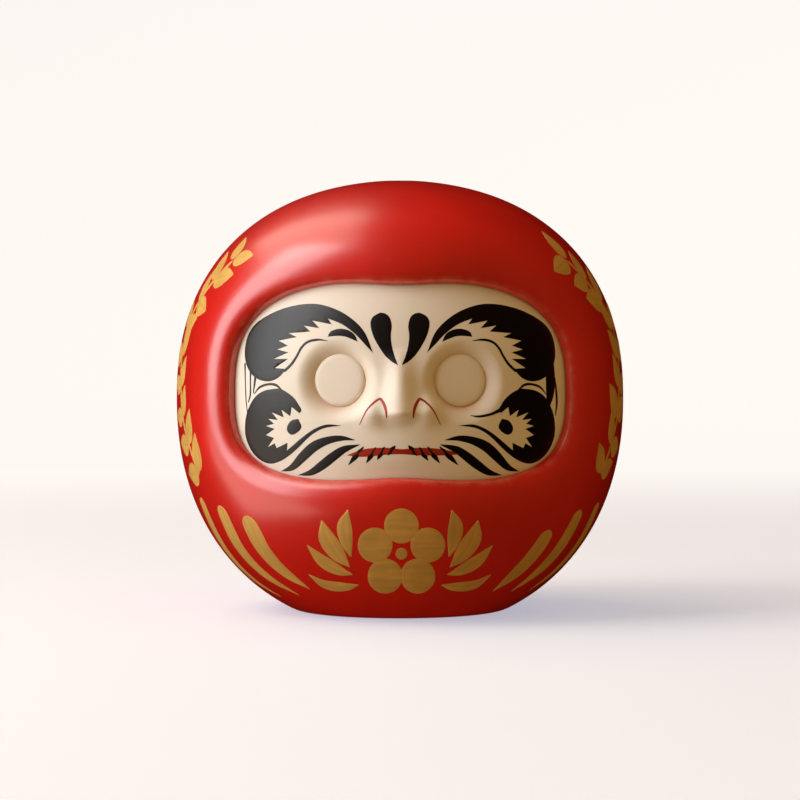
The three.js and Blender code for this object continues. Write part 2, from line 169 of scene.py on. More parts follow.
class Form:
    """The doll's surfaces, each a distance from the body's middle along a direction."""

    def __init__(self, sizes):
        low, high = CAD_BOX
        self.sizes = sizes
        self.half_width = (high.x - low.x) / 2
        self.height = high.z
        self.middle = np.array([0, 0, WIDEST_SHARE * high.z])
        self.crown_rise = high.z - self.middle[2]
        self.belly_drop = BELLY_SHARE * high.z
        self.window_rise = WINDOW_SHARE * high.z

    def reach(self, direction):
        """The plain body: a fuller curve than a ball, and fuller above than below."""
        above = direction[..., 2] > 0
        power = np.where(above, CROWN_POWER, BELLY_POWER)
        across = np.hypot(direction[..., 0], direction[..., 1]) / self.half_width
        upright = np.abs(direction[..., 2]) / np.where(above, self.crown_rise, self.belly_drop)
        return (across**power + upright**power) ** (-1 / power)

    def radius(self, height):
        above = height > self.middle[2]
        power = np.where(above, CROWN_POWER, BELLY_POWER)
        rise = np.where(above, self.crown_rise, self.belly_drop)
        share = np.abs(height - self.middle[2]) / rise
        return self.half_width * np.maximum(1 - share**power, 0) ** (1 / power)

    def place(self, direction):
        """Angle around the body from straight ahead, and height, where a direction meets it."""
        point = direction * self.reach(direction)[..., None] + self.middle
        return np.arctan2(point[..., 0], -point[..., 1]), point[..., 2]

    def half_window(self, angle):
        """Half width and half height of the window; its long edges bow in at the middle."""
        bow = WINDOW_BOW * MM * (1 - hump(angle, BOW_SPREAD * DEGREE))
        return self.sizes.window_width / 2, self.sizes.window_height / 2 + bow

    def past_window(self, angle, height):
        """Distance outside the window's edge; negative is inside the window."""
        along = np.abs(angle) * self.radius(self.window_rise)
        up = height - self.window_rise
        wide, tall = self.half_window(angle)
        power = np.where(up > 0, WINDOW_TOP_POWER, WINDOW_FOOT_POWER)
        across, upright = along / wide, np.abs(up) / tall
        size = np.maximum((across**power + upright**power) ** (1 / power), 1e-6)
        slope_across = (across / size) ** (power - 1) / wide
        slope_upright = (upright / size) ** (power - 1) / tall
        return (size - 1) / np.maximum(np.hypot(slope_across, slope_upright), 1e-6)

    def red(self, direction):
        """The red body with its rolled lip, the soft ridge around it and the hood's brow."""
        angle, height = self.place(direction)
        out = np.maximum(self.past_window(angle, height), 0)
        crest = LIP_CREST * MM
        ridge = self.sizes.lip_rise * (out / crest) * np.exp(1 - out / crest)
        edge = np.clip(1 - out / (LIP_ROUND * MM), 0, 1)
        fade = np.exp(-out / (LIP_FADE * MM))
        roll = self.sizes.lip_roll * (0.7 * fade + 0.3 * (1 - np.sqrt(1 - edge**2)))
        hood_height = self.window_rise + self.sizes.window_height / 2 + HOOD_ABOVE * MM
        hood = HOOD_RISE * MM * hump(height - hood_height, HOOD_SPREAD * MM)
        hood = hood * hump(angle, HOOD_REACH * DEGREE)
        return self.reach(direction) + ridge - roll + hood * (1 - np.exp(-out / crest))

    def white(self, direction):
        """The face: a nose, a soft muzzle and two round sockets."""
        angle, height = self.place(direction)
        plain = self.reach(direction) - self.sizes.face_depth
        across = plain * direction[..., 0]
        up = height - (self.window_rise - NOSE_TIP_BELOW * MM)
        length = NOSE_LENGTH * MM
        slope = np.where(up > 0, np.maximum(1 - up / length, 0), hump(up, NOSE_UNDERSIDE * MM))
        width = NOSE_BRIDGE * MM + NOSE_WIDENING * MM * hump(np.maximum(up, 0), length / 3)
        ridge = self.sizes.nose_height * slope * hump(across, width)
        wing = WING_RADIUS * MM
        wings = WING_HEIGHT * MM * hump(up, wing) * hump(np.abs(across) - WING_SPREAD * MM, wing)
        muzzle_up = height - self.window_rise + MUZZLE_BELOW * MM
        muzzle = MUZZLE_HEIGHT * MM * hump(muzzle_up, MUZZLE_TALL * MM)
        muzzle = muzzle * hump(across, MUZZLE_WIDE * MM)
        inside = np.minimum(self.past_window(angle, height), 0)
        raised = (np.hypot(ridge, wings) + muzzle) * (1 - hump(inside, FACE_EDGE_FADE * MM))
        return plain + raised - self.sizes.socket_depth * self.socket(angle, height)

    def eye_angle(self):
        radius = self.radius(self.window_rise) - self.sizes.face_depth
        return math.asin(EYE_SPREAD * MM / radius)

    def socket(self, angle, height):
        """1 on the floor of a socket and 0 outside it, steepest beside the floor."""
        along = (np.abs(angle) - self.eye_angle()) * self.radius(self.window_rise)
        away = np.hypot(along, height - self.window_rise)
        return np.clip(1 - (away - SOCKET_FLOOR * MM) / (SOCKET_FLARE * MM), 0, 1) ** 2

    def surface(self, which, direction, lift=0.0):
        """Points on a named surface along directions, lifted off it by a height."""
        distance = getattr(self, which)(direction) + lift
        return direction * distance[..., None] + self.middle


# ---------------------------------------------------------------- meshes


def new_piece(name, vertices, faces, material, replaced=(), marks=None):
    """A smooth mesh piece that rides on the doll's one body; marks are values its material reads."""
    mesh = bpy.data.meshes.new(name)
    mesh.from_pydata([tuple(v) for v in vertices], [], faces)
    for mark, values in (marks or {}).items():
        mesh.attributes.new(mark, "FLOAT", "POINT").data.foreach_set("value", np.ravel(values))
    work = bmesh.new()
    work.from_mesh(mesh)
    bmesh.ops.remove_doubles(work, verts=work.verts, dist=1e-7)
    bmesh.ops.recalc_face_normals(work, faces=work.faces)
    work.to_mesh(mesh)
    work.free()
    mesh.polygons.foreach_set("use_smooth", [True] * len(mesh.polygons))
    mesh.set_sharp_from_angle(angle=50 * DEGREE)
    mesh.materials.append(material)
    piece = bpy.data.objects.new(name, mesh)
    bpy.context.collection.objects.link(piece)
    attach(piece, "root")
    if replaced:
        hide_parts(*replaced)
    return piece


def wall(outer, inner, wraps):
    """Vertices and faces of a closed wall between two sheets of points of the same size."""
    rows, columns = outer.shape[:2]
    vertices = np.concatenate([outer.reshape(-1, 3), inner.reshape(-1, 3)])
    inside = rows * columns
    spans = columns if wraps else columns - 1
    faces = []
    for i in range(rows - 1):
        for j in range(spans):
            here, right = i * columns + j, i * columns + (j + 1) % columns
            faces.append((here, right, right + columns, here + columns))
            faces.append(
                (inside + here, inside + here + columns, inside + right + columns, inside + right)
            )
    for j in range(spans):
        right = (j + 1) % columns
        last, last_right = (rows - 1) * columns + j, (rows - 1) * columns + right
        faces.append((j, inside + j, inside + right, right))
        faces.append((last, last_right, inside + last_right, inside + last))
    if not wraps:
        for i in range(rows - 1):
            for column, turn in ((0, 1), (columns - 1, -1)):
                low, high = i * columns + column, (i + 1) * columns + column
                faces.append((low, high, inside + high, inside + low)[::turn])
    return vertices, faces


def turned(profile, segments):
    """Vertices and faces of a turned solid whose profile starts and ends on the axis, or closes."""
    turn = np.linspace(0, 2 * math.pi, segments, endpoint=False)
    radius, height = np.array(profile).T
    x, y = np.outer(np.cos(turn), radius), np.outer(np.sin(turn), radius)
    vertices = np.stack([x, y, np.broadcast_to(height, x.shape)], axis=-1).reshape(-1, 3)
    steps = len(profile)
    faces = []
    for j in range(segments):
        for i in range(steps - 1):
            here, right = j * steps + i, ((j + 1) % segments) * steps + i
            corners = [here, right, right + 1, here + 1]
            if radius[i] == 0:
                corners.remove(right)
            if radius[i + 1] == 0:
                corners.remove(right + 1)
            faces.append(corners)
    return vertices, faces


def smooth_run(points, steps):
    """Points along a smooth curve through a few chosen ones."""
    points = np.array(points, dtype=float)
    if len(points) == 2:
        share = np.linspace(0, 1, steps)[:, None]
        return points[0] * (1 - share) + points[1] * share
    padded = np.vstack([2 * points[0] - points[1], points, 2 * points[-1] - points[-2]])
    run = []
    for k in range(len(points) - 1):
        a, b, c, d = padded[k : k + 4]
        for t in np.linspace(0, 1, steps, endpoint=False):
            turn = (-a + 3 * b - 3 * c + d) * t**3 + (2 * a - 5 * b + 4 * c - d) * t**2
            run.append(0.5 * (turn + (c - a) * t + 2 * b))
    run.append(points[-1])
    return np.array(run)


# ---------------------------------------------------------------- materials


def add_node(tree, kind, options=None, inputs=None):
    """Adds a node, sets its attributes, then sets or links its inputs."""
    node = tree.nodes.new(kind)
    for name, value in (options or {}).items():
        setattr(node, name, value)
    for name, value in (inputs or {}).items():
        if isinstance(value, bpy.types.NodeSocket):
            tree.links.new(value, node.inputs[name])
        else:
            node.inputs[name].default_value = value
    return node


def shade(colour, factor):
    """A lighter or darker version of a linear colour, with alpha."""
    return [*(min(c * factor, 1) for c in colour), 1]


def new_material(name):
    material = bpy.data.materials.new(name)
    material.use_nodes = True
    material.node_tree.nodes.clear()
    return material, material.node_tree


def finish_material(tree, shader_inputs):
    shader = add_node(tree, "ShaderNodeBsdfPrincipled", inputs=shader_inputs)
    add_node(tree, "ShaderNodeOutputMaterial", inputs={"Surface": shader.outputs["BSDF"]})


def grain(tree, place, size, detail=3):
    """Noise with cells of a size in millimetres."""
    inputs = {"Vector": place, "Scale": 1 / (size * MM), "Detail": detail}
    return add_node(tree, "ShaderNodeTexNoise", inputs=inputs).outputs["Fac"]


def blend(tree, factor, first, second):
    inputs = {"Factor": factor, "A": first, "B": second}
    return add_node(tree, "ShaderNodeMix", {"data_type": "RGBA"}, inputs).outputs["Result"]


def between(tree, value, low, high, start=0.0, end=1.0):
    inputs = {"Value": value, "From Min": start, "From Max": end, "To Min": low, "To Max": high}
    return add_node(tree, "ShaderNodeMapRange", inputs=inputs).outputs["Result"]


def relief(tree, height, depth, under=None):
    """Bumps of a depth in millimetres, on top of earlier ones."""
    inputs = {"Height": height, "Distance": depth * MM}
    if under:
        inputs["Normal"] = under
    return add_node(tree, "ShaderNodeBump", inputs=inputs).outputs["Normal"]


def marked(tree, name):
    """The values a piece carries at its vertices under a name."""
    return add_node(tree, "ShaderNodeAttribute", {"attribute_name": name}).outputs["Fac"]


def red_lacquer_material(colours):
    """Moulded paper dipped in vermilion paint and glazed: a satin skin over the soft lumps of the pulp.

    Slow clouds of tone show how the dip ran, the finest grain is paper fibre under the paint, and the
    paint turns pale pink in patches along the edge of the window.
    """
    material, tree = new_material("vermilion paint on moulded paper")
    place = add_node(tree, "ShaderNodeTexCoord").outputs["Object"]
    runs = add_node(tree, "ShaderNodeMapping", inputs={"Vector": place, "Scale": (1, 1, 0.35)})
    clouds = grain(tree, runs.outputs["Vector"], 14)
    lumps = grain(tree, place, 17)
    fibre = grain(tree, place, 1.1, 4)
    tone = blend(tree, clouds, shade(colours.red, 0.84), shade(colours.red, 1.12))
    # The red turns pale pink in patches within a hair of the window's edge.
    pale_edge_patches = add_node(
        tree,
        "ShaderNodeMath",
        {"operation": "MULTIPLY"},
        {0: marked(tree, "edge"), 1: between(tree, grain(tree, place, 4, 4), 0.05, 0.3, 0.4, 0.7)},
    ).outputs[0]
    finish_material(
        tree,
        {
            "Base Color": blend(tree, pale_edge_patches, tone, [*linear("#e59a80"), 1]),
            "Roughness": between(tree, fibre, 0.26, 0.38),
            "Normal": relief(tree, fibre, 0.02, relief(tree, lumps, 0.15)),
            "IOR": 1.5,
            "Specular IOR Level": 0.75,
            "Coat Weight": 0.85,
            "Coat Roughness": 0.25,
        },
    )
    return material


def shell_white_material(colours):
    """Ground-shell white brushed on paper: chalky and faintly warm, with light sinking in a little.

    The white is painted a warm tan on the socket walls around the eyes, deepest beside the discs: painted
    shade.
    """
    material, tree = new_material("shell white on moulded paper")
    place = add_node(tree, "ShaderNodeTexCoord").outputs["Object"]
    tone = blend(tree, grain(tree, place, 22, 4), shade(colours.face, 0.95), shade(colours.face, 1.03))
    # Painted shade: a warm tan laid into the eye sockets, strongest on the steep wall beside each disc.
    painted_socket_shade = between(tree, marked(tree, "hollow"), 0, 0.65)
    finish_material(
        tree,
        {
            "Base Color": blend(tree, painted_socket_shade, tone, [*linear("#cf9355"), 1]),
            "Roughness": between(tree, grain(tree, place, 6), 0.44, 0.58),
            "Normal": relief(tree, grain(tree, place, 0.7), 0.012),
            "IOR": 1.45,
            "Subsurface Weight": 0.12,
            "Subsurface Radius": [0.0016, 0.0009, 0.0005],
            "Subsurface Scale": 1.0,
        },
    )
    return material


def brush_paint_material(name, colour, roughness, metallic, streaks):
    """Paint laid with a soft brush: hair streaks run along each stroke, thin in places."""
    material, tree = new_material(name)
    place = add_node(tree, "ShaderNodeTexCoord").outputs["Object"]
    stroke = add_node(
        tree, "ShaderNodeCombineXYZ", inputs={"X": marked(tree, "along"), "Y": marked(tree, "across")}
    )
    hairs = add_node(
        tree, "ShaderNodeMapping", inputs={"Vector": stroke.outputs["Vector"], "Scale": (0.05, 0.6, 1)}
    )
    streak = add_node(
        tree, "ShaderNodeTexNoise", inputs={"Vector": hairs.outputs["Vector"], "Scale": 1, "Detail": 4}
    ).outputs["Fac"]
    flow = add_node(
        tree, "ShaderNodeMath", {"operation": "MULTIPLY"}, {0: streak, 1: grain(tree, place, 9)}
    ).outputs[0]
    tone = between(tree, flow, 0, 1, 0.08, 0.42)
    finish_material(
        tree,
        {
            "Base Color": blend(tree, tone, shade(colour, 1 - streaks), shade(colour, 1 + streaks)),
            "Roughness": between(tree, grain(tree, place, 0.6), roughness - 0.06, roughness + 0.06),
            "Metallic": metallic,
            "Normal": relief(tree, streak, 0.02),
        },
    )
    return material


def matte_material(name, hex_colour, cell, depth):
    """Bare paper or clay: no gloss, with a grain of its own size and depth in millimetres."""
    material, tree = new_material(name)
    place = add_node(tree, "ShaderNodeTexCoord").outputs["Object"]
    body = grain(tree, place, cell, 6)
    colour = linear(hex_colour)
    finish_material(
        tree,
        {
            "Base Color": blend(tree, body, shade(colour, 0.75), shade(colour, 1.2)),
            "Roughness": 0.85,
            "Normal": relief(tree, body, depth),
        },
    )
    return material


# ---------------------------------------------------------------- painted marks


def settings():
    """The doll's form and its colours, as set in the scene."""
    scene = bpy.context.scene
    return Form(scene.daruma_sizes), scene.daruma_colours


def from_front(form, which, drawing):
    """Directions from the body's middle to where a front drawing, in millimetres, meets a surface.

    The drawing stands upright through the doll's middle and is seen from a viewer in front.
    """
    viewer = np.array(viewpoint(form))
    target = np.stack([drawing[:, 0], 0 * drawing[:, 0], drawing[:, 1]], axis=1) * MM
    sight = target - viewer
    sight /= np.linalg.norm(sight, axis=1)[:, None]
    travel = np.full(len(drawing), -viewer[1] - form.half_width)
    for _ in range(24):
        arm = viewer + sight * travel[:, None] - form.middle
        length = np.linalg.norm(arm, axis=1)
        direction = arm / length[:, None]
        miss = length - getattr(form, which)(direction)
        travel -= 0.8 * miss / np.minimum((arm * sight).sum(axis=1) / length, -0.15)
    return direction


def mark_piece(name, runs, form, which, material, mirror=1):
    """A thin closed skin of paint inside an outline of smooth runs that meet in corners."""
    outline = np.vstack([smooth_run(run, 6 if len(run) > 2 else 5)[:-1] for run in runs])
    outline = outline * [mirror, 1]
    apart = np.linalg.norm(outline - np.roll(outline, 1, axis=0), axis=1) > 0.03
    outline = outline[apart]
    low, high = outline.min(axis=0), outline.max(axis=0)
    step = 0.8
    grid = np.stack(np.meshgrid(np.arange(low[0], high[0], step), np.arange(low[1], high[1], step)), -1)
    grid = grid.reshape(-1, 2)
    gap = np.linalg.norm(grid[:, None] - outline[None], axis=2).min(axis=1)
    points = np.vstack([outline, grid[gap > 0.45 * step]])
    count = len(outline)
    edges = [(k, (k + 1) % count) for k in range(count)]
    flat, _, triangles, origin, _, _ = delaunay_2d_cdt(
        [Vector(p) for p in points], edges, [list(range(count))], 1, 1e-5
    )
    flat = np.array([tuple(p) for p in flat])
    used = sorted({v for triangle in triangles for v in triangle})
    known = {v: k for k, v in enumerate(used)}
    triangles = [tuple(known[v] for v in triangle) for triangle in triangles]
    direction = from_front(form, which, flat[used])
    ends = {}
    for triangle in triangles:
        for a, b in zip(triangle, triangle[1:] + triangle[:1]):
            ends[(a, b)] = ends.get((a, b), 0) + 1
    rim = [pair for pair in ends if (pair[1], pair[0]) not in ends]
    on_rim = np.zeros(len(used), dtype=bool)
    on_rim[[a for a, _ in rim]] = True
    lift = np.where(on_rim, 0.35, 1.0) * form.sizes.paint_height
    top = form.surface(which, direction, lift)
    bottom = form.surface(which, direction, np.full(len(used), -PAINT_ROOT * MM))
    size = len(used)
    faces = list(triangles)
    faces += [(c + size, b + size, a + size) for a, b, c in triangles]
    faces += [(b, a, a + size, b + size) for a, b in rim]
    drawn = flat[used]
    marks = {"along": np.tile(drawn[:, 0], 2), "across": np.tile(drawn[:, 1], 2)}
    return new_piece(name, np.vstack([top, bottom]), faces, material, marks=marks)


def round_end(line, width):
    """How much of its width a stroke has along a line that starts with a round end."""
    apart = np.linalg.norm(np.diff(line, axis=0, prepend=line[:1]), axis=1)
    share = np.clip(np.cumsum(apart) / (width * MM / 2), 0.02, 1)
    return np.sqrt(1 - (1 - share) ** 2)


def stroke_piece(name, path, widths, form, which, material, mirror=1, drawn="front"):
    """One brush stroke: a path with a width at each of its points, round at both ends."""
    line = smooth_run(np.column_stack([path, widths]), 14)
    centre, width = line[:, :2] * [mirror, 1], line[:, 2]
    if drawn == "front":
        direction = from_front(form, which, centre)
    else:
        angle, height = centre[:, 0] * DEGREE, centre[:, 1] * MM
        radius = form.radius(height)
        arm = np.stack([radius * np.sin(angle), -radius * np.cos(angle), height], axis=1) - form.middle
        direction = arm / np.linalg.norm(arm, axis=1)[:, None]
    middle = form.surface(which, direction)
    along = np.gradient(middle, axis=0)
    width = width * round_end(middle, width[0]) * round_end(middle[::-1], width[-1])[::-1]
    side = np.cross(direction, along)
    side /= np.linalg.norm(side, axis=1)[:, None]
    steps = 9
    across = np.linspace(-1, 1, steps)
    spread = middle[:, None] + side[:, None] * across[None, :, None] * (width * MM / 2)[:, None, None]
    arm = spread - form.middle
    direction = arm / np.linalg.norm(arm, axis=2)[..., None]
    lift = form.sizes.paint_height * (1 - 0.75 * across**4)
    lift = np.broadcast_to(lift, direction.shape[:2])
    top = form.surface(which, direction, lift)
    bottom = form.surface(which, direction, np.full(direction.shape[:2], -PAINT_ROOT * MM))
    vertices, faces = wall(top, bottom, False)
    length = np.cumsum(np.linalg.norm(np.diff(middle, axis=0, prepend=middle[:1]), axis=1)) / MM
    side_step = across[None] * width[:, None] / 2
    marks = {
        "along": np.tile(np.broadcast_to(length[:, None], side_step.shape).ravel(), 2),
        "across": np.tile(side_step.ravel(), 2),
    }
    return new_piece(name, vertices, faces, material, marks=marks)


def feathers(points):
    """Straight runs between the roots and the tips of a feathered edge."""
    return [points[k : k + 2] for k in range(len(points) - 1)]


# Face marks on the left side, in millimetres on a drawing seen from the front: across from the middle
# of the doll, and up from the floor. The right side is the same drawing turned over.
BROW_OUTER = [
    (-9.1, 86.6), (-12.1, 93.8), (-17, 98.7), (-22.5, 101.7), (-28.4, 103.2), (-35, 102.8),
    (-42, 100.7), (-48.4, 96.9), (-51.6, 92.3), (-52.6, 86), (-51.2, 80.7), (-48.2, 77.8),
    (-44.6, 77), (-41.3, 78.2), (-38.5, 81.2),
]
BROW_FEATHERS = [
    (-38.5, 81.2), (-42.5, 81.5), (-37.9, 84.6), (-42.8, 84.6), (-37.8, 86.8), (-41.6, 87.8),
    (-38, 89.1), (-41.1, 90.8), (-35, 92), (-37.7, 93.3), (-30.4, 93.9), (-32.6, 95.9),
    (-27.3, 95), (-29.7, 97.6), (-23.1, 96.3), (-24.5, 98.3),
]
BROW_INNER = [(-24.5, 98.3), (-19.6, 96.3), (-15.2, 93), (-11.7, 89.3), (-9.1, 86.6)]
TEAR_OUTER = [
    (-6.7, 100.3), (-9.1, 98.9), (-10, 96.7), (-9.3, 93), (-7.5, 89.3), (-5.3, 86),
    (-3, 83.8), (-0.6, 82.4),
]
TEAR_INNER = [
    (-0.6, 82.4), (-1.9, 85.7), (-2.8, 89.3), (-3.1, 92.7), (-2.8, 95.6), (-3.4, 98.4),
    (-4.9, 99.9), (-6.7, 100.3),
]
CHEEK_OUTER = [
    (-40.7, 74.6), (-43.1, 74.4), (-46, 73.8), (-48.6, 72.2), (-50.6, 69.4), (-51.9, 66.1),
    (-52.5, 62.4), (-52.3, 58.4), (-51, 54.7), (-49, 51.8), (-46.4, 49.8), (-43.5, 49.1),
    (-40.2, 50.1), (-37.2, 52.1), (-34.3, 54.7), (-31.3, 57.7), (-28.4, 59.9), (-25.1, 61.3),
    (-19.8, 62),
]
CHEEK_TAIL = [
    (-19.8, 62), (-24.4, 62.4), (-27.7, 61.5), (-30.6, 59.9), (-33.5, 57.7), (-36.5, 55.1),
    (-38.3, 53.6),
]
CHEEK_FEATHERS = [
    (-38.3, 53.6), (-38.1, 56.2), (-41.8, 54.4), (-42.5, 56), (-44.8, 54.7), (-42.7, 57.8),
    (-45.4, 58.8), (-42.5, 60.9), (-45.4, 61.9), (-42.7, 62.6), (-44.6, 64.3), (-41.4, 63.9),
    (-43.5, 66.5), (-39.4, 64.8), (-40.2, 67.4), (-37.2, 65.2), (-36.7, 68.3), (-34.1, 66.2),
]
CHEEK_TOP = [(-34.1, 66.2), (-33.4, 67.2), (-34.3, 69), (-35.7, 71.1), (-38, 73.1), (-40.7, 74.6)]
LEAF = [
    (-34.5, 64.3), (-36.8, 63.7), (-38.2, 61.7), (-38, 59.8), (-36.5, 58.9), (-34.5, 59.9),
    (-33.4, 61.7), (-34.5, 64.3),
]
CRESCENT_TOP = [(-24.5, 92.1), (-23.6, 93.8), (-20.7, 94.8), (-17.7, 94.4), (-15.4, 92.8), (-14.3, 90.4)]
CRESCENT_LOW = [(-14.3, 90.4), (-16.6, 91.4), (-18.8, 92.2), (-21.4, 92.4), (-24.5, 92.1)]

# Brush strokes of the left side: path, then the width at each of its points.
FACE_STROKES = {
    "eyelid": (
        [
            (-39.4, 80.3), (-36.9, 82.7), (-35, 85.5), (-33.4, 88.4), (-31.2, 90.4), (-28, 91.1),
            (-24.4, 90.7),
        ],
        [0.9, 0.9, 0.8, 0.8, 0.8, 0.7, 0.1],
    ),
    "whisker_low": (
        [
            (-40.3, 46.5), (-36.5, 47.9), (-32.8, 51.6), (-29.1, 54.9), (-24.7, 56.9), (-19.9, 57.7),
            (-15.2, 57.1),
        ],
        [0.1, 2, 3, 3.1, 2.4, 1.6, 0.1],
    ),
    "whisker_lowest": (
        [(-34.5, 45.2), (-30.2, 46.1), (-26.2, 48.7), (-22.5, 51.6), (-18.8, 54), (-13.5, 55.6)],
        [0.1, 1.9, 2.8, 2.8, 2.1, 0.1],
    ),
    "cheek_arc": (
        [(-49.5, 72.6), (-47.5, 75), (-44.6, 76), (-42, 75.7), (-39.6, 73.6)],
        [0.2, 0.7, 0.7, 0.8, 0.2],
    ),
}
# Strokes at the temples, which differ: three hairs on the left; a broad stroke and an eyelid on the right.
TEMPLE_STROKES = {
    "left": {
        "temple_a": ([(-52.5, 83.4), (-52.4, 76.8), (-52.2, 71.6), (-51.7, 66.3)], [0.8, 0.5, 0.5, 0.3]),
        "temple_b": ([(-50.6, 81.2), (-50.7, 76.8), (-50.7, 72.7), (-51.4, 69.8)], [0.9, 0.6, 0.7, 0.4]),
        "temple_c": ([(-48.9, 79.3), (-49.3, 76), (-49.7, 72.9)], [1.1, 0.8, 0.3]),
    },
    "right": {
        "temple_a": (
            [(51.2, 84), (51, 79.5), (51, 75.5), (50.7, 71.5), (50.2, 68)],
            [2.4, 4, 4.1, 3, 0.8],
        ),
        "temple_b": ([(52.4, 78.5), (52.9, 74), (53.1, 69.5), (52.6, 65.2)], [0.4, 0.9, 0.9, 0.3]),
        "lid": ([(23.8, 65.4), (26.9, 65.1), (30.9, 65.9), (34.2, 67.4)], [0.2, 0.7, 0.8, 1.2]),
    },
}
TICKS = [
    ((-12.3, 54.9), (-17.5, 48.6)),
    ((-8.2, 54.7), (-11.4, 49.3)),
    ((-5.2, 54.9), (-7.7, 50.4)),
    ((-1.6, 55.2), (-4.2, 51.9)),
    ((2.8, 55.3), (5.9, 51.7)),
    ((6.5, 54.7), (9.5, 50.1)),
    ((9.3, 54.9), (13.4, 49.3)),
    ((13.4, 54.9), (19.7, 48.6)),
]
LIP_TOP = [(-18.1, 51.9), (-12.3, 54), (-4.9, 54.5), (0.7, 54), (6.3, 54.5), (14.1, 54), (21.4, 52.3)]
LIP_LOW = [(21.4, 52.3), (14.1, 51.9), (6.3, 51.9), (0.7, 52.3), (-4.9, 52.1), (-12.3, 51.4), (-18.1, 51.9)]
NOSTRIL = [(-13.8, 62.2), (-11, 67.6), (-7.3, 70.9), (-6, 70.2), (-4.9, 67.6), (-4.5, 64.4)]


# ---------------------------------------------------------------- operators


class DARUMA_OT_body(bpy.types.Operator):
    """Make the two red halves of the body."""

    bl_idname = "daruma.body"
    bl_label = "Red body"

    def execute(self, context):
        form, colours = settings()
        material = red_lacquer_material(colours)
        self.front_half(form, material)
        self.back_half(form, material)
        return {"FINISHED"}

    def front_half(self, form, material):
        foot = OPENING_RADIUS * MM
        drop = form.middle[2]
        corner = math.atan2(drop, foot)
        seam = np.linspace(-corner, math.pi + corner, 240, endpoint=False)
        base_angle = np.linspace(-90, 90, 61)[:-1] * DEGREE
        base = np.stack([foot * np.sin(base_angle), -foot * np.cos(base_angle), 0 * base_angle - drop], 1)
        base /= np.linalg.norm(base, axis=1)[:, None]
        turn = np.concatenate([seam, np.arctan2(base[:, 2], base[:, 0])])
        limit = np.concatenate([np.full(len(seam), math.pi / 2), np.arccos(-base[:, 1])])
        start = self.window_edge(form, turn)
        rings = form.sizes.body_steps
        share = (np.linspace(0, 1, rings + 1) ** 2)[:, None]
        away = start + (limit - start) * share
        direction = ahead(away, np.broadcast_to(turn, away.shape))
        outer, inner = self.both_sides(form, direction, -1)
        vertices, faces = wall(outer, inner, True)
        edge = hump(form.past_window(*form.place(direction)), 0.6 * MM).ravel()
        marks = {"edge": np.concatenate([edge, 0 * edge])}
        new_piece("red_front", vertices, faces, material, ["front_shell"], marks)

    def window_edge(self, form, turn):
        inside, outside = 0 * turn, 0 * turn + 80 * DEGREE
        for _ in range(40):
            middle = (inside + outside) / 2
            past = form.past_window(*form.place(ahead(middle, turn)))
            inside, outside = np.where(past < 0, middle, inside), np.where(past < 0, outside, middle)
        return outside

    def back_half(self, form, material):
        steps = form.sizes.body_steps
        low = -math.atan2(form.middle[2], OPENING_RADIUS * MM)
        elevation = np.linspace(math.pi / 2, low, steps + 1)[:, None]
        angle = np.linspace(90, 270, 181)[None, :] * DEGREE
        level, rise = np.cos(elevation), np.sin(elevation) + 0 * angle
        direction = np.stack([level * np.sin(angle), -level * np.cos(angle), rise], axis=-1)
        outer, inner = self.both_sides(form, direction, 1)
        outer[0], inner[0] = outer[0, 0], inner[0, 0]
        vertices, faces = wall(outer, inner, False)
        new_piece("red_back", vertices, faces, material, ["back_shell"])

    def both_sides(self, form, direction, side):
        """Outer and inner sheet of a half, flat on the floor and with a hairline joint."""
        sheets = []
        for depth in (0, -form.sizes.wall):
            points = form.surface("red", direction, np.full(direction.shape[:-1], float(depth)))
            from_joint = np.abs(points[..., 1])
            if depth == 0:
                valley = 0.12 * MM * hump(from_joint, 1 * MM)
                points = points - direction * valley[..., None]
            points[..., 1] = side * np.maximum(points[..., 1] * side, 0.05 * MM)
            soft = 1.2 * MM
            height = points[..., 2]
            rounded = np.where(height < -soft, 0, (height + soft) ** 2 / (4 * soft))
            points[..., 2] = np.where(height > soft, height, rounded)
            if depth:
                points[..., 2] = np.maximum(points[..., 2], 0.6 * MM)
            sheets.append(points)
        return sheets


def ahead(away, turn):
    """Unit directions at an angle away from straight ahead, turned around that axis."""
    return np.stack([np.sin(away) * np.cos(turn), -np.cos(away), np.sin(away) * np.sin(turn)], axis=-1)


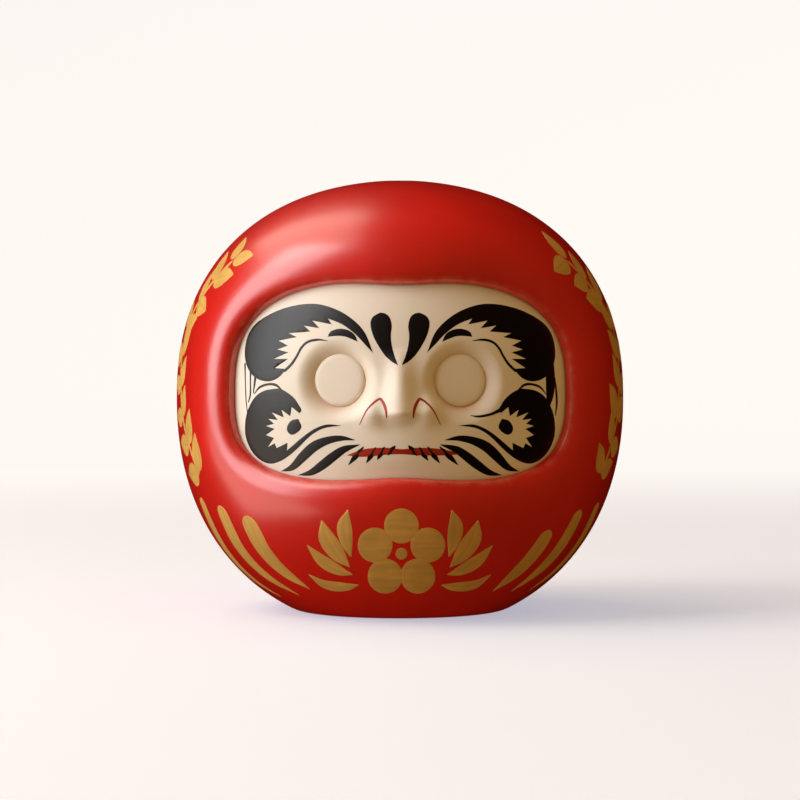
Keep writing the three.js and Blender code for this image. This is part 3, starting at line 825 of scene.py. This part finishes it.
class DARUMA_OT_face(bpy.types.Operator):
    """Make the white face that is set in behind the window."""

    bl_idname = "daruma.face"
    bl_label = "White face"

    def execute(self, context):
        form, colours = settings()
        u = np.linspace(-1, 1, 241)[None, :]
        v = np.linspace(-1, 1, 151)[:, None]
        power = np.where(v > 0, WINDOW_TOP_POWER, WINDOW_FOOT_POWER)
        far = np.maximum(np.maximum(np.abs(u), np.abs(v)), 1e-9)
        size = np.maximum((np.abs(u) ** power + np.abs(v) ** power) ** (1 / power), 1e-9)
        flange = 3.2 * MM
        angle = u * far / size * (form.sizes.window_width / 2 + flange) / form.radius(form.window_rise)
        _, tall = form.half_window(angle)
        height = form.window_rise + v * far / size * (tall + flange)
        radius = form.radius(height)
        arm = np.stack([radius * np.sin(angle), -radius * np.cos(angle), height], axis=-1) - form.middle
        direction = arm / np.linalg.norm(arm, axis=-1)[..., None]
        outer = form.surface("white", direction)
        inner = form.surface("white", direction, np.full(angle.shape, -1.8 * MM))
        vertices, faces = wall(outer, inner, False)
        material = shell_white_material(colours)
        # How far into a socket each point lies; the white material paints shade in the sockets from it.
        hollow = form.socket(*form.place(direction)).ravel() ** 1.4
        marks = {"hollow": np.concatenate([hollow, 0 * hollow])}
        new_piece("white_face", vertices, faces, material, ["face_mask"], marks)
        self.eyes(form, material)
        return {"FINISHED"}

    def eyes(self, form, material):
        radius, rim = EYE_RADIUS * MM, 1.5 * MM
        floor = form.radius(form.window_rise) - form.sizes.face_depth - form.sizes.socket_depth
        dome = [
            (radius * s, rim * (1 - s**14) ** 0.5 + 0.3 * MM * (1 - s * s))
            for s in np.sin(np.linspace(math.pi / 2, 0, 32))
        ]
        profile = [(0, -0.6 * MM), (radius, -0.6 * MM), *dome]
        profile[-1] = (0, profile[-1][1])
        vertices, faces = turned(profile, 96)
        for name, side in SIDES:
            angle = side * form.eye_angle()
            spot = (floor * math.sin(angle), -floor * math.cos(angle), form.window_rise)
            place = Matrix.Translation(spot)
            place = place @ Matrix.Rotation(angle, 4, "Z") @ Matrix.Rotation(math.pi / 2, 4, "X")
            moved = [place @ Vector(v) for v in vertices]
            new_piece(f"eye_disc_{name}", moved, faces, material, [f"eye_blank_{name}"])


class DARUMA_OT_face_paint(bpy.types.Operator):
    """Paint the brows, cheeks, whiskers, nostrils and mouth."""

    bl_idname = "daruma.face_paint"
    bl_label = "Face paint"

    def execute(self, context):
        form, colours = settings()
        ink = brush_paint_material("black lacquer ink", colours.ink, 0.38, 0, 0.15)
        mouth = brush_paint_material("lip red", colours.mouth, 0.45, 0, 0.15)
        for side, mirror in SIDES:
            marks = {
                "brow": [BROW_OUTER, *feathers(BROW_FEATHERS), BROW_INNER],
                "cheek": [CHEEK_OUTER, CHEEK_TAIL, *feathers(CHEEK_FEATHERS), CHEEK_TOP],
                "teardrop": [TEAR_OUTER, TEAR_INNER],
                "leaf": [LEAF],
                "crescent": [CRESCENT_TOP, CRESCENT_LOW],
            }
            for name, runs in marks.items():
                mark_piece(f"{name}_{side}", runs, form, "white", ink, -mirror)
            for name, (path, widths) in FACE_STROKES.items():
                stroke_piece(f"{name}_{side}", path, widths, form, "white", ink, -mirror)
            for name, (path, widths) in TEMPLE_STROKES[side].items():
                stroke_piece(f"{name}_{side}", path, widths, form, "white", ink)
            widths = [0.2, 0.5, 0.7, 0.9, 0.9, 0.3]
            stroke_piece(f"nostril_{side}", NOSTRIL, widths, form, "white", mouth, -mirror)
        mark_piece("lips", [LIP_TOP, LIP_LOW], form, "white", mouth)
        for n, (top, tip) in enumerate(TICKS):
            middle = tuple((a + b) / 2 for a, b in zip(top, tip))
            stroke_piece(f"beard_{n}", [top, middle, tip], [0.3, 1.7, 0.2], form, "white", ink)
        return {"FINISHED"}


# Gold strokes that fan out from the foot: angle around the body in degrees and height in millimetres,
# then the width at each point.
FAN_STROKES = {
    "left": [
        (
            [(-44.3, 34.8), (-44, 29.5), (-43.7, 24), (-41.8, 18.5), (-38.5, 14.4), (-34, 10.6)],
            [6.4, 7.6, 7.4, 6.4, 4.6, 0.2],
        ),
        (
            [(-55, 37.4), (-55.2, 31), (-55.8, 24.5), (-54.4, 18.5), (-50.5, 13), (-42.5, 8)],
            [5.6, 6.8, 6.8, 6, 4.4, 0.2],
        ),
        (
            [(-67, 39), (-68.2, 31), (-69.5, 23), (-69, 16), (-65.5, 10.5), (-58, 6.5)],
            [5.4, 6.4, 6.4, 5.4, 3.6, 0.2],
        ),
    ],
    "right": [
        (
            [(44.6, 30.2), (44.2, 25), (42.4, 19.2), (39.8, 14.4), (36.2, 9.8)],
            [5.6, 6.8, 6.8, 5.2, 0.2],
        ),
        (
            [(55.9, 36), (55.8, 29), (55, 22), (52.2, 15.4), (46.5, 9)],
            [5.6, 6.8, 7, 5.4, 0.2],
        ),
        (
            [(68, 37.4), (69, 29.5), (69.4, 22.5), (67, 15), (60.5, 8.4)],
            [5.4, 6.4, 6.4, 5, 0.2],
        ),
    ],
}


# Leaves beside the blossom, on the front drawing.
SPRAY = [
    ([(17, 14), (21, 18), (24.5, 23.5), (26.5, 30)], [0.4, 5.6, 6.2, 0.3]),
    ([(16, 11.5), (21, 13), (26, 16), (31.5, 21.5)], [0.4, 4.8, 5.4, 0.3]),
    ([(14, 8), (19, 7.4), (25, 8), (31, 11.5)], [0.4, 4.4, 4.8, 0.3]),
    ([(16.6, 17.5), (18.2, 22.5), (18.8, 28), (17.6, 33.5)], [0.4, 4, 4.6, 0.3]),
]


class DARUMA_OT_gold(bpy.types.Operator):
    """Paint the gold blossom and the fans of strokes."""

    bl_idname = "daruma.gold"
    bl_label = "Gold paint"

    def execute(self, context):
        form, colours = settings()
        gold = brush_paint_material("brushed gold paint", colours.gold, 0.42, 0.3, 0.18)
        for side, strokes in FAN_STROKES.items():
            for n, (path, widths) in enumerate(strokes):
                stroke_piece(f"fan_{side}_{n}", path, widths, form, "red", gold, drawn="round")
        self.blossom(form, gold)
        return {"FINISHED"}

    def blossom(self, form, gold):
        """Five round petals about a middle, with a pair of leaf sprays."""
        middle = np.array([0.5, 18.6])
        for n in range(5):
            turn = (90 + 72 * n) * DEGREE
            out = middle + 9.4 * np.array([math.cos(turn), math.sin(turn)])
            mark_piece(f"petal_{n}", [self.disc(out, 5.9, turn)], form, "red", gold)
        mark_piece("petal_middle", [self.disc(middle, 2, 0)], form, "red", gold)
        for n, (path, widths) in enumerate(SPRAY):
            for side, mirror in SIDES:
                stroke_piece(f"spray_{side}_{n}", path, widths, form, "red", gold, mirror)

    def disc(self, middle, radius, start):
        """A round outline of paint on the front drawing."""
        turn = start + np.linspace(0, 2 * math.pi, 25)
        return middle + radius * np.stack([np.cos(turn), np.sin(turn)], axis=1)


# Middle line of the side vine: angle around the body in degrees and height in millimetres.
VINE_PATH = [(-62, 47), (-66, 56), (-70, 66), (-72, 77), (-74, 88), (-73, 97), (-66, 106), (-57, 115)]
VINE_LEAF = [(0, 0.15), (1.2, 2.4), (4.2, 3.9), (7.8, 3.4), (11, 1.6), (13, 0.15)]


class DARUMA_OT_vines(bpy.types.Operator):
    """Paint a gold leaf vine up each side, its leaves set along a line and laid on the body."""

    bl_idname = "daruma.vines"
    bl_label = "Side vines"

    def execute(self, context):
        form, colours = settings()
        gold = bpy.data.materials["brushed gold paint"]
        leaves = self.leaf_pair()
        tree = self.vine_tree()
        for seed, (side, mirror) in enumerate(SIDES):
            path = np.array(VINE_PATH) * [-mirror, 1]
            stem = smooth_run(path, 12)
            widths = np.full(len(path), 1.8)
            stroke_piece(f"stem_{side}", path, widths, form, "red", gold, drawn="round")
            self.vine(context, form, side, stem, tree, leaves, gold, seed)
        bpy.data.objects.remove(leaves)
        return {"FINISHED"}

    def leaf_pair(self):
        """Two leaves of paint that lean forward from a stem along Y, each a thin closed skin."""
        vertices, values, faces = [], {"along": [], "across": [], "paint_height": []}, []
        lean = 38 * DEGREE
        for mirror in (-1, 1):
            rows = smooth_run([(*point, 0) for point in VINE_LEAF], 2)[:, :2]
            first = len(vertices)
            for sheet in (0, 1):
                for along, half in rows:
                    for across in (-1, -0.5, 0.5, 1):
                        x, y = along + 0.9, half * across
                        turned_x = x * math.cos(lean) - y * math.sin(lean)
                        turned_y = x * math.sin(lean) + y * math.cos(lean)
                        vertices.append((mirror * turned_x * MM, turned_y * MM, 0))
                        top = 0.12 * (1 - 0.6 * across**2) * MM
                        values["paint_height"].append(-PAINT_ROOT * MM if sheet else top)
                        values["along"].append(along)
                        values["across"].append(half * across)
            count = len(rows)
            for i in range(count - 1):
                for j in range(3):
                    a = first + 4 * i + j
                    quad = (a, a + 1, a + 5, a + 4)
                    faces += [quad, tuple(v + 4 * count for v in reversed(quad))]
                for j in (0, 3):
                    a = first + 4 * i + j
                    faces.append((a, a + 4, a + 4 + 4 * count, a + 4 * count))
            for i in (0, count - 1):
                for j in range(3):
                    a = first + 4 * i + j
                    faces.append((a, a + 1, a + 1 + 4 * count, a + 4 * count))
        mesh = bpy.data.meshes.new("leaf_pair")
        mesh.from_pydata(vertices, [], faces)
        for name, numbers in values.items():
            mesh.attributes.new(name, "FLOAT", "POINT").data.foreach_set("value", numbers)
        leaves = bpy.data.objects.new("leaf_pair", mesh)
        bpy.context.collection.objects.link(leaves)
        return leaves

    def vine_tree(self):
        """Leaf pairs every few millimetres along a line, turned and sized a little apart, on the body."""
        tree = bpy.data.node_groups.new("leaf vine", "GeometryNodeTree")
        for name, kind in (
            ("Geometry", "NodeSocketGeometry"),
            ("Leaf pair", "NodeSocketObject"),
            ("Front half", "NodeSocketObject"),
            ("Back half", "NodeSocketObject"),
            ("Middle", "NodeSocketVector"),
            ("Spacing", "NodeSocketFloat"),
            ("Unevenness", "NodeSocketFloat"),
            ("Seed", "NodeSocketInt"),
            ("Paint", "NodeSocketMaterial"),
        ):
            tree.interface.new_socket(name=name, in_out="INPUT", socket_type=kind)
        tree.interface.new_socket(name="Geometry", in_out="OUTPUT", socket_type="NodeSocketGeometry")
        given = add_node(tree, "NodeGroupInput").outputs

        def maths(operation, first, second):
            node = add_node(tree, "ShaderNodeMath", {"operation": operation}, {0: first, 1: second})
            return node.outputs[0]

        def vector(operation, *values):
            inputs = dict(enumerate(values))
            return add_node(tree, "ShaderNodeVectorMath", {"operation": operation}, inputs).outputs[0]

        def outward():
            place = add_node(tree, "GeometryNodeInputPosition").outputs["Position"]
            return place, vector("NORMALIZE", vector("SUBTRACT", place, given["Middle"]))

        def uneven(low, high, salt):
            node = add_node(
                tree,
                "FunctionNodeRandomValue",
                {"data_type": "FLOAT"},
                {"Seed": maths("ADD", given["Seed"], salt)},
            )
            node.inputs[2].default_value = low
            node.inputs[3].default_value = high
            return maths("MULTIPLY", node.outputs[1], given["Unevenness"])

        points = add_node(
            tree,
            "GeometryNodeCurveToPoints",
            {"mode": "LENGTH"},
            {"Curve": given["Geometry"], "Length": given["Spacing"]},
        )
        _, away = outward()
        facing = add_node(
            tree,
            "FunctionNodeAxesToRotation",
            {"primary_axis": "Z", "secondary_axis": "Y"},
            {"Primary Axis": away, "Secondary Axis": points.outputs["Tangent"]},
        )
        wobble = add_node(
            tree,
            "FunctionNodeAxisAngleToRotation",
            inputs={"Axis": (0, 0, 1), "Angle": uneven(-0.3, 0.3, 3)},
        )
        turned_leaf = add_node(
            tree,
            "FunctionNodeRotateRotation",
            {"rotation_space": "LOCAL"},
            {"Rotation": facing.outputs[0], "Rotate By": wobble.outputs[0]},
        )
        placed = add_node(
            tree,
            "GeometryNodeInstanceOnPoints",
            inputs={
                "Points": points.outputs["Points"],
                "Instance": add_node(
                    tree, "GeometryNodeObjectInfo", inputs={"Object": given["Leaf pair"]}
                ).outputs["Geometry"],
                "Rotation": turned_leaf.outputs[0],
                "Scale": maths("ADD", 0.95, uneven(-0.14, 0.12, 7)),
            },
        )
        loose = add_node(
            tree, "GeometryNodeRealizeInstances", inputs={"Geometry": placed.outputs["Instances"]}
        )
        body = add_node(tree, "GeometryNodeJoinGeometry")
        for half in ("Front half", "Back half"):
            shell = add_node(tree, "GeometryNodeObjectInfo", inputs={"Object": given[half]})
            tree.links.new(shell.outputs["Geometry"], body.inputs[0])
        place, away = outward()
        start = vector("ADD", place, vector("MULTIPLY", away, (0.02, 0.02, 0.02)))
        landing = add_node(
            tree,
            "GeometryNodeRaycast",
            inputs={
                "Target Geometry": body.outputs[0],
                "Source Position": start,
                "Ray Direction": vector("MULTIPLY", away, (-1, -1, -1)),
                "Ray Length": 0.06,
            },
        )
        height = add_node(
            tree, "GeometryNodeInputNamedAttribute", {"data_type": "FLOAT"}, {"Name": "paint_height"}
        )
        lift = add_node(
            tree,
            "ShaderNodeVectorMath",
            {"operation": "SCALE"},
            {0: away, "Scale": height.outputs["Attribute"]},
        )
        laid = add_node(
            tree,
            "GeometryNodeSetPosition",
            inputs={
                "Geometry": loose.outputs["Geometry"],
                "Position": vector("ADD", landing.outputs["Hit Position"], lift.outputs[0]),
            },
        )
        painted = add_node(
            tree,
            "GeometryNodeSetMaterial",
            inputs={"Geometry": laid.outputs["Geometry"], "Material": given["Paint"]},
        )
        add_node(tree, "NodeGroupOutput", inputs={"Geometry": painted.outputs["Geometry"]})
        return tree

    def vine(self, context, form, side, stem, tree, leaves, gold, seed):
        """Runs the vine tree on one stem and keeps its result as a plain mesh."""
        angle, height = stem[:, 0] * DEGREE, stem[:, 1] * MM
        radius = form.radius(height)
        places = np.stack([radius * np.sin(angle), -radius * np.cos(angle), height], axis=1)
        line = bpy.data.curves.new("vine_line", "CURVE")
        line.dimensions = "3D"
        spline = line.splines.new("POLY")
        spline.points.add(len(places) - 1)
        spline.points.foreach_set("co", np.column_stack([places, np.ones(len(places))]).ravel())
        carrier = bpy.data.objects.new("vine_line", line)
        context.collection.objects.link(carrier)
        modifier = carrier.modifiers.new("leaf vine", "NODES")
        modifier.node_group = tree
        values = {
            "Leaf pair": leaves,
            "Front half": bpy.data.objects["red_front"],
            "Back half": bpy.data.objects["red_back"],
            "Middle": [float(v) for v in form.middle],
            "Spacing": 9.4 * MM,
            "Unevenness": 1.0,
            "Seed": seed,
            "Paint": gold,
        }
        for socket in tree.interface.items_tree:
            if socket.name in values:
                modifier[socket.identifier] = values[socket.name]
        ready = carrier.evaluated_get(context.evaluated_depsgraph_get())
        mesh = bpy.data.meshes.new_from_object(ready)
        bpy.data.objects.remove(carrier)
        vertices = np.zeros(3 * len(mesh.vertices))
        mesh.vertices.foreach_get("co", vertices)
        faces = [tuple(face.vertices) for face in mesh.polygons]
        marks = {}
        for name in ("along", "across"):
            marks[name] = np.zeros(len(mesh.vertices))
            mesh.attributes[name].data.foreach_get("value", marks[name])
        new_piece(
            f"vine_{side}", vertices.reshape(-1, 3), faces, gold, marks=marks
        )


class DARUMA_OT_inside(bpy.types.Operator):
    """Finish the paper and clay inside and underneath."""

    bl_idname = "daruma.inside"
    bl_label = "Paper and clay"

    def execute(self, context):
        # Torn mulberry paper set in paste: long fibres matted together show as a soft cloudy surface.
        washi = matte_material("torn washi strip with paste", "#d9cfb8", 1.4, 0.1)
        # Raw clay pressed in by hand: coarse grit and finger dents make it dull and uneven.
        clay = matte_material("unfired grey-brown clay", "#9a7a60", 3.8, 0.25)
        # Unbleached wrapping paper: the fine tooth of its pulp shows as even specks.
        kraft = matte_material("brown kraft paper", "#b89a72", 0.9, 0.07)
        finishes = {"seam_strip": washi, "base_weight": clay, "base_paper": kraft}
        for name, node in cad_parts.items():
            for start, material in finishes.items():
                if name.startswith(start):
                    for slot in node.material_slots:
                        slot.material = material
        return {"FINISHED"}


class DARUMA_OT_stage(bpy.types.Operator):
    """Make the floor, the lights and the camera."""

    bl_idname = "daruma.stage"
    bl_label = "Stage"

    def execute(self, context):
        form, _ = settings()
        self.floor(context)
        self.light(context, "window light", -68, 26, 1.1, (0.75, 1.2), 12.5, "#f4f6f8")
        self.light(context, "high window light", -105, 58, 1.1, (1.2, 0.7), 5, "#fff1e0")
        self.light(context, "light off the floor", -75, -22, 1.1, (1, 0.6), 3, "#fff0e0")
        world = self.room()
        context.scene.world = world
        world.cycles_visibility.glossy = False
        context.scene.view_settings.view_transform = "Standard"
        lens = bpy.data.cameras.new("front camera")
        lens.lens = 98
        camera = bpy.data.objects.new("front camera", lens)
        camera.location = viewpoint(form)
        camera.rotation_euler = (math.pi / 2, 0, 0)
        context.collection.objects.link(camera)
        context.scene.camera = camera
        return {"FINISHED"}

    def room(self):
        """A dim warm room, darker towards its floor."""
        world = bpy.data.worlds.new("dim warm room")
        world.use_nodes = True
        tree = world.node_tree
        tree.nodes.clear()
        toward = add_node(tree, "ShaderNodeTexCoord").outputs["Generated"]
        up = add_node(tree, "ShaderNodeSeparateXYZ", inputs={"Vector": toward}).outputs["Z"]
        strength = add_node(
            tree,
            "ShaderNodeMapRange",
            inputs={"Value": up, "From Min": -1, "From Max": 0, "To Min": 0.2, "To Max": 0.42},
        )
        background = add_node(
            tree,
            "ShaderNodeBackground",
            inputs={"Color": [*linear("#ffc878"), 1], "Strength": strength.outputs["Result"]},
        )
        add_node(
            tree, "ShaderNodeOutputWorld", inputs={"Surface": background.outputs["Background"]}
        )
        return world

    def floor(self, context):
        """A pale sheet that lies flat under the doll and sweeps up all around it."""
        flat, bend, top = 1.7, 0.9, 4.0
        turn = np.linspace(0, math.pi / 2, 13)
        rise = np.column_stack([flat + bend * np.sin(turn), bend * (1 - np.cos(turn))])
        profile = [(0, 0), *rise, (flat + bend, top)]
        vertices, faces = turned(profile, 96)
        mesh = bpy.data.meshes.new("pale_sheet")
        mesh.from_pydata([tuple(v) for v in vertices], [], [face[::-1] for face in faces])
        mesh.validate()
        mesh.polygons.foreach_set("use_smooth", [True] * len(mesh.polygons))
        material, tree = new_material("pale paper sheet")
        place = add_node(tree, "ShaderNodeTexCoord").outputs["Object"]
        away = add_node(tree, "ShaderNodeVectorMath", {"operation": "LENGTH"}, {0: place})
        far = add_node(
            tree,
            "ShaderNodeMapRange",
            {"interpolation_type": "SMOOTHSTEP"},
            {"Value": away.outputs["Value"], "From Min": 0.2, "From Max": 1.6},
        ).outputs["Result"]
        finish_material(
            tree,
            {
                "Base Color": [*linear("#c9c3bc"), 1],
                "Roughness": 0.9,
                "Emission Color": blend(tree, far, [0.37, 0.43, 0.52, 1], [0.71, 0.77, 0.82, 1]),
                "Emission Strength": 1.0,
            },
        )
        mesh.materials.append(material)
        sheet = bpy.data.objects.new("pale_sheet", mesh)
        context.collection.objects.link(sheet)
        sheet.visible_diffuse = False
        sheet.visible_glossy = False
        sheet.visible_shadow = False

    def light(self, context, name, around, up, distance, size, power, hex_colour):
        """A soft lamp at an angle around the doll and above it, in degrees, that looks at its middle."""
        lamp = bpy.data.lights.new(name, "AREA")
        lamp.shape = "RECTANGLE"
        lamp.size, lamp.size_y = size
        lamp.energy = power
        lamp.color = linear(hex_colour)
        item = bpy.data.objects.new(name, lamp)
        around, up = around * DEGREE, up * DEGREE
        level = math.cos(up)
        toward = Vector((level * math.sin(around), -level * math.cos(around), math.sin(up)))
        item.location = Vector((0, 0, 0.07)) + toward * distance
        item.rotation_euler = (-toward).to_track_quat("-Z", "Y").to_euler()
        context.collection.objects.link(item)


def viewpoint(form):
    """Where the viewer stands: level with the widest ring, nearly five body widths in front."""
    return (0, -0.738, form.middle[2] - 1 * MM)


class DARUMA_PT_panel(bpy.types.Panel):
    """The doll's tools in the sidebar."""

    bl_label = "Daruma doll"
    bl_space_type = "VIEW_3D"
    bl_region_type = "UI"
    bl_category = "Daruma"

    def draw(self, context):
        for tool in TOOLS:
            self.layout.operator(tool.bl_idname)


TOOLS = (
    DARUMA_OT_stage,
    DARUMA_OT_body,
    DARUMA_OT_face,
    DARUMA_OT_face_paint,
    DARUMA_OT_gold,
    DARUMA_OT_vines,
    DARUMA_OT_inside,
)
CLASSES = (DarumaSizes, DarumaColours, *TOOLS, DARUMA_PT_panel)


def register():
    for item in CLASSES:
        bpy.utils.register_class(item)
    bpy.types.Scene.daruma_sizes = PointerProperty(type=DarumaSizes)
    bpy.types.Scene.daruma_colours = PointerProperty(type=DarumaColours)


def unregister():
    del bpy.types.Scene.daruma_sizes
    del bpy.types.Scene.daruma_colours
    for item in reversed(CLASSES):
        bpy.utils.unregister_class(item)


def main():
    register()
    for tool in TOOLS:
        group, name = tool.bl_idname.split(".")
        getattr(getattr(bpy.ops, group), name)()


if __name__ == "__main__":
    main()
